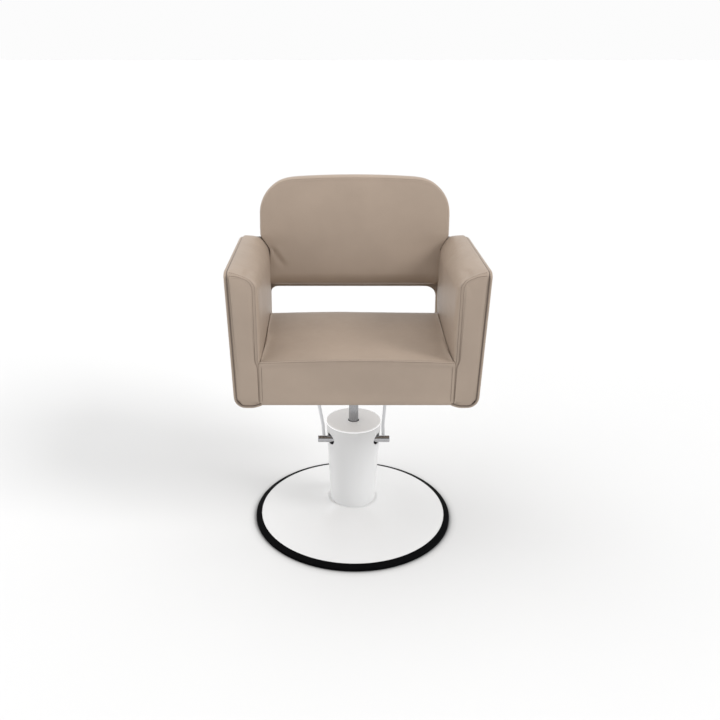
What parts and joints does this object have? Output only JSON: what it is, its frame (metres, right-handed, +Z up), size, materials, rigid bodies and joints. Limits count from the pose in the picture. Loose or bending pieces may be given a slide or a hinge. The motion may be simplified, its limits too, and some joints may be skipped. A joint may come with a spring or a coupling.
{
  "type": "salon styling chair",
  "caption": "Upholstered styling chair with wide arms and an open gap below the back, on a hydraulic column with a round base and a pump pedal.",
  "frame": {"origin": "centre of the round base, on the floor", "axes": "+Z up, the chair's front faces -Y, the sitter's left is +X"},
  "size_m": [0.656, 0.6, 1.0099],
  "materials": {
    "leatherette": "smooth leatherette over foam, matt to satin",
    "leatherette_panel": "smooth leatherette, matt to satin",
    "piping": "dark leatherette welt",
    "white_gloss": "gloss white",
    "rim_rubber": "black, satin",
    "polished_steel": "polished",
    "rod_steel": "pale satin",
    "black_steel": "black powder coat",
    "cast_iron": "cast, painted grey",
    "tube_steel": "drawn steel",
    "bronze": "machined",
    "zinc_steel": "zinc plated",
    "plywood": "raw plywood",
    "black_cloth": "woven, matt",
    "black_rubber": "matt"
  },
  "bodies": {
    "base": {"base_rim": "rim_rubber", "base_plate": "black_steel", "floor_pads": "black_rubber", "base_cover": "white_gloss", "pump_foot": "cast_iron", "foot_bolts": "zinc_steel", "reservoir_tube": "tube_steel", "cylinder_tube": "tube_steel", "plunger_barrel": "tube_steel", "pump_head": "cast_iron", "shaft_bushes": "bronze", "guide_bush": "bronze", "gland_nut": "tube_steel", "ram_seal": "black_rubber", "column_cover": "white_gloss", "column_cap": "white_gloss", "cap_grommet": "black_rubber"},
    "lever": {"lever_shaft": "polished_steel", "shaft_fingers": "tube_steel", "lever_rod_left": "rod_steel", "lever_rod_right": "rod_steel", "rod_screws": "zinc_steel", "pedal_bar": "polished_steel", "pedal_sleeve": "black_rubber", "pedal_caps": "black_rubber"},
    "plunger": {"plunger": "tube_steel", "plunger_spring": "zinc_steel"},
    "release": {"release_pin": "tube_steel"},
    "ram": {"ram": "polished_steel", "ram_piston": "tube_steel", "ram_washer": "bronze"},
    "chair": {"swivel_hub": "black_steel", "seat_bracket": "black_steel", "bracket_bolts": "zinc_steel", "seat_board": "plywood", "dust_cover": "black_cloth", "seat_cushion": "leatherette", "arm_frame_left": "plywood", "arm_frame_right": "plywood", "arm_pad_left": "leatherette", "arm_pad_right": "leatherette", "arm_panel_left": "leatherette_panel", "arm_panel_right": "leatherette_panel", "arm_piping_left": "piping", "arm_piping_right": "piping", "arm_bolts": "zinc_steel", "back_board": "plywood", "back_cushion": "leatherette", "back_panel": "leatherette", "back_bolts": "zinc_steel"}
  },
  "joints": [
    {"name": "lift", "type": "slide", "parent": "base", "child": "ram", "axis": [0, 0, 1], "range_m": [-0.105, 0.035]},
    {"name": "swivel", "type": "hinge", "parent": "ram", "child": "chair", "pos_m": [0, 0, 0.46], "axis": [0, 0, 1], "continuous": true},
    {"name": "pedal", "type": "hinge", "parent": "base", "child": "lever", "pos_m": [0, -0.036, 0.28], "axis": [-1, 0, 0], "range_deg": [0, 24], "stiffness_Nm_per_rad": 12, "springref_deg": -34.38},
    {"name": "plunger_stroke", "type": "slide", "parent": "base", "child": "plunger", "axis": [0, 0, -1], "range_m": [0, 0.0115], "deforming": ["plunger_spring"]},
    {"name": "release_stroke", "type": "slide", "parent": "base", "child": "release", "axis": [0, 0, -1], "range_m": [0, 0.0025]}
  ],
  "couplings": [
    {"joint": "plunger_stroke", "follows": "pedal", "m_per_rad": 0.026},
    {"joint": "release_stroke", "follows": "pedal", "m_per_rad": 0.0053}
  ]
}
